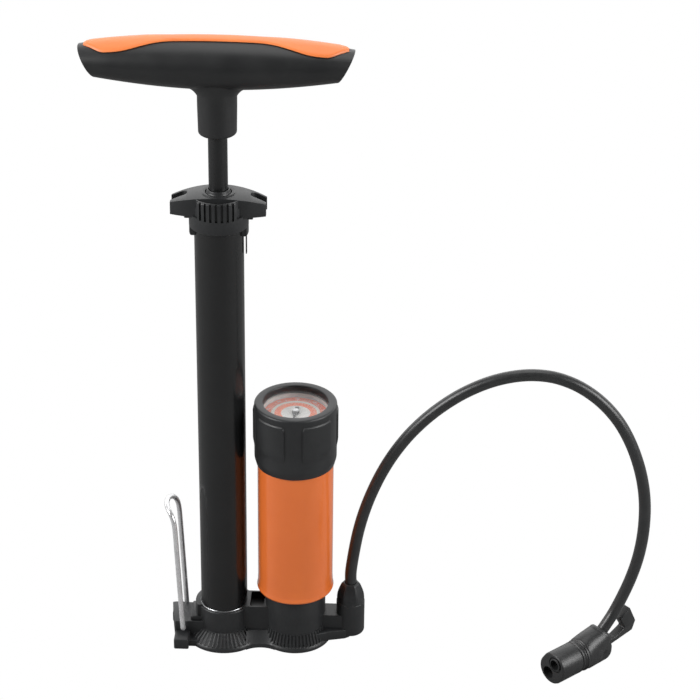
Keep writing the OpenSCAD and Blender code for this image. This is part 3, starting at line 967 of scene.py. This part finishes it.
gaugeForm = {
    "x": 46.4, "dialTop": 166.4, "dialThick": 0.8, "radius": 20.5, "hole": 1.15,
    "red": (15.4, 20.0), "pale": (13.3, 15.0), "inner": (9.2, 13.3),
    "zero": -96, "sweep": 270, "needle": 14.6, "tail": 6.5,
    "numbers": 7, "numberStep": 20, "numberSize": 2.3, "numberRadius": 18.0,
}


def dialPrint():
    g = gaugeForm
    f = Finish("dialPrint", Roughness=0.45)
    where = f.place((g["x"] * mm, 0, 0), (1000, 1000, 1000))
    x = f.node("ShaderNodeSeparateXYZ", None, {0: where}, out="X")
    y = f.node("ShaderNodeSeparateXYZ", None, {0: where}, out="Y")
    radius = f.maths("SQRT", x * x + y * y)
    # turn from the zero mark, clockwise, 0 to 1 for a whole one
    start = math.radians(g["zero"]) + math.tau * 2
    turn = f.maths("FRACT", (start - f.maths("ARCTAN2", y, x)) / math.tau)

    def ring(low, high):
        return (radius > low) * (radius < high)

    def ticks(low, high, count, wide):
        # marks of one width, spread over the sweep
        pitch = g["sweep"] / 360 / count
        arc = f.maths("PINGPONG", turn, pitch / 2) * radius * math.tau
        return ring(low, high) * (arc < wide / 2) * (turn < g["sweep"] / 360 + pitch / 2)

    tone = f.mix(f.ranged(f.noise(90, 3), 0.35, 0.65), colour(0.60, 0.60, 0.58), colour(0.66, 0.66, 0.64))
    mark = (0.80, 0.79, 0.74)
    for mask, ink in (
        (ring(*g["red"]), (0.80, 0.155, 0.07)), (ring(*g["inner"]), (0.84, 0.18, 0.07)),
        (ring(*g["pale"]), (0.70, 0.69, 0.64)), (ticks(15.4, 17.2, 54, 0.16), (0.78, 0.77, 0.72)),
        (ticks(15.4, 18.4, 10.8, 0.3), mark), (ticks(11.6, 13.3, 27, 0.2), mark),
    ):
        tone = f.mix(mask, tone, colour(*ink))
    f.give("Base Color", tone)
    f.give("Roughness", f.ranged(f.noise(300, 3), 0.3, 0.7, (0.38, 0.52)))
    return f.block


finishes["dial_print"] = dialPrint()


def makeDial():
    g = gaugeForm
    top, low, r, hole = g["dialTop"], g["dialTop"] - g["dialThick"], g["radius"], g["hole"]
    profile = rounded([(hole, low, 0), (r, low, 0.1), (r, top, 0.15), (hole + 0.1, top, 0.1)], 2)
    dial = turned("dial_card", profile, (g["x"], 0), 128)
    smooth(dial, 40)
    return finished(dial, "base", finishes["dial_print"], "dial_print", "gauge_dial")


def makeNumbers():
    # generic scale numbers, flat on the dial
    g = gaugeForm
    made = []
    far = g["numberRadius"]
    for k in range(g["numbers"]):
        turn = math.radians(g["zero"]) - math.radians(g["sweep"]) * (k + 0.5) / g["numbers"]
        clear()
        bpy.ops.object.text_add()
        label = bpy.context.object
        label.data.body = str(g["numberStep"] * (k + 1))
        label.data.size = g["numberSize"] * mm
        label.data.align_x = "CENTER"
        label.data.align_y = "CENTER"
        label.data.extrude = 0.04 * mm
        bpy.ops.object.convert(target="MESH")
        label = bpy.context.object
        place = (g["x"] + far * math.cos(turn), far * math.sin(turn), g["dialTop"] + 0.03)
        label.location = Vector(place) * mm
        label.rotation_euler = (0, 0, turn - math.pi / 2)
        bpy.ops.object.transform_apply(location=True, rotation=True, scale=True)
        made.append(label)
    clear()
    for label in made:
        label.select_set(True)
    bpy.context.view_layer.objects.active = made[0]
    bpy.ops.object.join()
    numbers = named("dial_numbers")
    numbers.data.materials.clear()
    numbers.data.materials.append(finishes["white_plastic"])
    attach(numbers, "base")


def makeNeedle():
    g = gaugeForm
    low, tip, tail = g["dialTop"] + 0.5, g["needle"], g["tail"]
    half = [(-tail, 1.0), (1.2 - tail, 1.35), (-2.2, 0.8), (2.2, 0.85), (tip - 2, 0.28), (tip, 0.08)]
    needle = prism("needle_blade", half + [(x, -y) for x, y in half[::-1]], low, low + 0.45)
    bevelled(needle, 0.1, 2, 60)
    combine(needle, turned("hub", rounded([
        (1.02, low, 0), (2.4, low, 0.15), (2.4, low + 0.9, 0.3), (1.02, low + 0.9, 0)], 3), steps=48))
    turnedBy(needle, g["zero"], "Z")
    shifted(needle, (g["x"], 0, 0))
    smooth(needle, 35)
    return finished(needle, "needle", finishes["needle_black"], "needle_black", "gauge_needle")


makeDial()
makeNumbers()
makeNeedle()
print("gauge made")


# stirrup: one bent wire, its ends turned in under the lug

stirrupForm = {
    "lean": 2.7, "wire": 3.2,
    "half": [
        (0, -7.1, 0), (0, -10.5, 0), (0, -12.7, 0.05), (0, -13.7, 0.6), (0, -14.15, 1.6), (0, -14.2, 3.2),
        (0, -14.2, 14), (0, -14.2, 30), (0, -14.2, 45), (0, -14.2, 58), (0, -14.05, 68), (0, -13.9, 76),
        (-0.4, -13.2, 81), (-1.6, -11.8, 85), (-3.4, -9.4, 87.6), (-4.9, -6, 88.8), (-5.7, -2.6, 89.2),
    ],
}


def makeStirrup():
    s = stirrupForm
    half = s["half"]
    line = smoothed(half + [(x, -y, z) for x, y, z in half[::-1]], 5, 1)
    wire = bar("stirrup_wire", line, s["wire"], 24)
    bevelled(wire, 0.35, 2, 70)
    turnedBy(wire, -s["lean"], "Y")
    shifted(wire, baseForm["hinge"])
    smooth(wire, 50)
    return finished(wire, "stirrup", finishes["bright_wire"], "bright_wire", "foot_stirrup")


makeStirrup()


# ferrule: a six-sided dome that grips the hose

ferruleForm = {
    "x": 82.5, "low": 28.02, "top": 41.5, "hole": 3.85, "sides": 6,
    "rings": [(8.9, 28.02), (8.9, 29.4), (8.85, 31.0), (8.6, 33.0), (8.1, 35.0), (7.4, 37.0), (6.7, 38.8),
              (6.0, 40.4), (5.3, 41.2), (4.6, 41.5)],
}


def makeFerrule():
    f = ferruleForm
    dome = solid("ferrule_dome", [(0, f["low"])] + f["rings"] + [(0, f["top"])])
    sector = math.tau / f["sides"]

    def flats(far, turn, z):
        # flats between soft ridges, with one flat to the front
        if far < 1 or z < f["low"] + 1:
            return 1
        turn = (turn + math.pi / 2 + sector / 2) % sector - sector / 2
        flat = math.cos(sector / 2) / math.cos(turn)
        return 1 + (min(flat * 1.04, 1) - 1) * ease((z - f["low"] - 0.6) / 2.5)

    shifted(swollen(dome, flats), (f["x"], 0, 0))
    cut(dome, solid("hole", [(0, 38), (f["hole"], 38), (f["hole"] + 0.25, 43), (0, 43)], (f["x"], 0), 48))
    smooth(dome, 16)
    return finished(dome, "base", finishes["black_plastic"], "black_plastic", "hose_ferrule")


makeFerrule()
print("stirrup and ferrule made")


# pump head, built lying along X and then laid in its place

headForm = {
    "at": (212.5, -47.3, 0), "turn": 42, "middle": 11.4, "roll": 33,
    "nose": 9.9, "spread": 1.7, "noseEnd": 21.5, "schrader": -5.2, "presta": 5.2,
    "socket": 8.2, "socketTop": (45, 0, 22), "tilt": 48, "pivot": (42, 0, 9.5), "pin": 1.5,
    "lever": [(42.6, 4.9), (52, 9.6), (70.3, 12.6), (72.9, 19), (66.6, 31.4), (58.6, 25),
              (63.4, 17.2), (54.8, 13.4), (41.5, 13.2)],
    "leverHalf": 3.0, "rounding": [2, 3, 0.9, 0.9, 0.7, 0.7, 1.0, 2.4, 2],
}


def laid(piece, nozzle=False):
    h = headForm
    place = Matrix.Translation(Vector(h["at"]) * mm) @ Matrix.Rotation(math.radians(h["turn"]), 4, "Z")
    if nozzle:
        roll = Matrix.Rotation(math.radians(h["roll"]), 4, "X")
        place = place @ Matrix.Translation((0, 0, h["middle"] * mm)) @ roll
    piece.data.transform(place)
    return piece


def oval(r, spread, count):
    # stadium of two half circles, as (y, z) points
    out = []
    for k in range(count):
        turn = math.tau * k / count
        y, z = r * math.cos(turn), r * math.sin(turn)
        out.append((y, z + (spread if z > 1e-6 else -spread)))
    return out


def lofted(name, stations, spread):
    # skin through ovals of (x, radius) stations
    count = 72
    last = len(stations) - 1
    rings = [[Vector((x, y, z)) for y, z in oval(r, spread, count)] for x, r in stations]
    return capped(wrapped(name, count + 1, last + 1,
                          lambda a, b: rings[round(a * last)][round(b * count) % count], True))


def alongX(name, profile, centre, steps=48):
    return shifted(turnedBy(solid(name, profile, steps=steps), 90, "Y"), centre)


def makeNozzle():
    h = headForm
    r, end, spread = h["nose"], h["noseEnd"], h["spread"]
    big, small = (0, 0, h["schrader"]), (0, 0, h["presta"])
    cap = lofted("nozzle_cap", [
        (0, r - 1.5), (0.15, r - 0.9), (0.6, r - 0.3), (1.4, r), (17.6, r), (18.3, r - 0.5), (18.7, r + 0.05),
        (19.7, r + 0.05), (20.2, r - 0.5), (21.0, r - 0.1), (end, r - 0.5)], spread)
    cut(cap, lofted("hollow", [(3, r - 1.5), (30, r - 1.5)], spread))
    # raised ring round the smaller port, in a shallow groove
    ring = alongX("ring", [(0, -0.7), (3.7, -0.7), (4.4, -0.3), (4.4, 2), (0, 2)], small)
    cut(cap, alongX("moat", [(0, -2), (5.3, -2), (5.3, 0.9), (0, 0.9)], small))
    combine(cap, ring)
    cut(cap, alongX("port", [(0, -3), (3.7, -3), (3.3, 0.2), (3.3, 6), (0, 6)], small))
    cut(cap, alongX("port", [(0, -3), (4.7, -3), (4.1, 0.5), (4.1, 6), (0, 6)], big))
    laid(cap, True)
    smooth(cap, 32)
    return finished(cap, "base", finishes["head_plastic"], "head_plastic", "head_nozzle_cap")


def makeHeadBody():
    h = headForm
    middle, mouth = (0, 0, h["middle"]), h["socket"]
    body = alongX("head_shell", [
        (0, 21.6), (9.2, 21.6), (10, 22.3), (10, 34), (9.4, 37), (8.2, 38), (0, 38)], middle, 96)
    socket = solid("socket", [
        (0, -21), (5, -21), (mouth, -16), (mouth + 0.1, -3.2), (mouth - 0.2, -1.4), (mouth - 1.2, -0.3),
        (mouth - 2.0, 0), (4.4, 0), (3.85, -0.5), (3.8, -3), (0, -3)])
    shifted(turnedBy(socket, 90 - h["tilt"], "Y"), h["socketTop"])
    # the socket grows out of a bent shoulder: a round section swept from one end to the other
    tilt = math.radians(h["tilt"])
    ahead, axis, across = Vector((1, 0, 0)), Vector((math.cos(tilt), 0, math.sin(tilt))), Vector((0, 1, 0))
    start, knee = Vector((23.2, 0, h["middle"])), Vector((34, 0, h["middle"] + 4.5))
    end = Vector(h["socketTop"]) - axis * 2.6
    startRadius, endRadius = 10.5, mouth + 0.12

    def shoulder(k, around):
        centre = start.lerp(knee, k).lerp(knee.lerp(end, k), k)
        up = ahead.lerp(axis, k).normalized().cross(across)
        r = startRadius + (endRadius - startRadius) * k - 1.2 * (1 - ease(k / 0.12))
        turn = around * math.tau
        return centre + across * r * math.cos(turn) + up * r * math.sin(turn)

    combine(body, capped(wrapped("bend", 73, 33, shoulder, True)))
    combine(body, socket)
    # ridge where the socket runs down onto the body
    combine(body, alongX("saddle", [
        (0, 22.5), (9.6, 22.5), (10.55, 23.4), (10.55, 24.6), (9.8, 25.4), (0, 25.4)], middle, 96))
    outline = rounded([(26, 3.2, 1.5), (47, 4.2, 5), (47.4, 15.2, 5.2), (38, 18.5, 3), (26, 18.5, 1)], 6)
    for side in (-1, 1):
        cheek = prism("cheek", outline, *sorted((side * 4.3, side * 7.4)), "Y")
        combine(body, bevelled(cheek, 0.4, 2, 60))
    cut(body, block("slot", (34.6, -4.65, 1), (60, 4.65, 17.4)))
    cut(body, crossRod("pinHole", h["pin"] + 0.04, 20, h["pivot"]))
    laid(body)
    smooth(body, 34)
    return finished(body, "base", finishes["head_plastic"], "head_plastic", "head_body")


def makeLever():
    h = headForm
    half = h["leverHalf"]
    outline = rounded([(x, z, r) for (x, z), r in zip(h["lever"], h["rounding"])], 5)
    lever = prism("lever_arm", outline, -half, half, "Y")
    bevelled(lever, 0.6, 3, 50)
    hub = solid("hub", onAxis([(2, -4.5, 0), (5, -4.5, 0.5), (5, 4.5, 0.5), (2, 4.5, 0)]), steps=64)
    combine(lever, shifted(turnedBy(hub, 90, "X"), h["pivot"]))
    cut(lever, crossRod("pinHole", h["pin"] + 0.05, 20, h["pivot"]))
    laid(lever)
    smooth(lever, 34)
    return finished(lever, "lever", finishes["head_plastic"], "head_plastic", "head_lever")


nozzle = makeNozzle()
headShell = makeHeadBody()
lever = makeLever()
print("head made")


# floor and light

light = {
    "camera": (0.06, -0.87, 0.48),      # the way to the camera
    "back": 1.7, "front": 0.03, "from": -0.45, "to": 0.2,
    "lamps": [
        ("keyLight", (-1.5, -0.7, 1.1), (0.05, 0, 0.2), 1.0, 36),
        ("fillLight", (1.6, -0.6, 0.9), (0.05, 0, 0.15), 1.0, 28),
        ("topLight", (0.1, 0.2, 1.7), (0.05, 0, 0.1), 1.0, 7),
    ],
}


def makeStudio():
    clear()
    bpy.ops.mesh.primitive_plane_add(size=6, location=(0.1, 0, 0))
    floor = named("floor")
    f = Finish("floorPaper", Roughness=0.9)
    f.give("Base Color", f.mix(f.noise(8, 2), colour(0.20, 0.20, 0.20), colour(0.24, 0.24, 0.24)))
    # the sweep under the camera is lit on its own, so that it stays white
    glow = f.node("ShaderNodeEmission", None, {"Color": colour(1, 1, 1), "Strength": 1.0})
    seen = f.node("ShaderNodeLightPath", out="Is Camera Ray")
    both = f.node("ShaderNodeMixShader", None, {0: seen, 1: Wire(f, f.shader.outputs[0]), 2: glow})
    f.tree.links.new(both.socket, f.tree.nodes["Material Output"].inputs["Surface"])
    floor.data.materials.append(f.block)

    # a white room, dark on the camera's side
    room = Finish("studio", "worlds", "Background", Color=colour(1, 1, 1))
    scene.world = room.block
    facing = room.node("ShaderNodeVectorMath", {"operation": "DOT_PRODUCT"}, {
        0: room.node("ShaderNodeTexCoord", out="Generated"), 1: Vector(light["camera"]).normalized(),
    }, out="Value")
    strength = room.ranged(facing, light["from"], light["to"], (light["back"], light["front"]))
    seen = room.node("ShaderNodeLightPath", out="Is Camera Ray")
    room.give("Strength", room.node("ShaderNodeMix", {"data_type": "FLOAT"}, {0: seen, 2: strength, 3: 1.0}))
    for name, place, target, size, power in light["lamps"]:
        data = bpy.data.lights.new(name, "AREA")
        data.size = size
        data.energy = power
        lamp = bpy.data.objects.new(name, data)
        scene.collection.objects.link(lamp)
        lamp.location = place
        lamp.rotation_euler = (Vector(target) - Vector(place)).to_track_quat("-Z", "Y").to_euler()
    scene.view_settings.view_transform = "Standard"


makeStudio()


# the CAD nodes that stay get their finish by the record's slots

def dressNodes():
    slots = {row["node"]: row["material_slot"] for row in frame["record"]["subparts"]}
    for node, piece in frame["nodes"].items():
        finish = finishes.get("needle_black" if node == "head_lever_pin" else slots[node])
        if piece.hide_render or finish is None:
            continue
        for place in piece.material_slots:
            place.material = finish


dressNodes()

([nozzle, headShell, lever] + [frame["nodes"][n] for n in (
        "head_plunger", "head_gasket", "head_lever_pin")])
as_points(hoseLine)
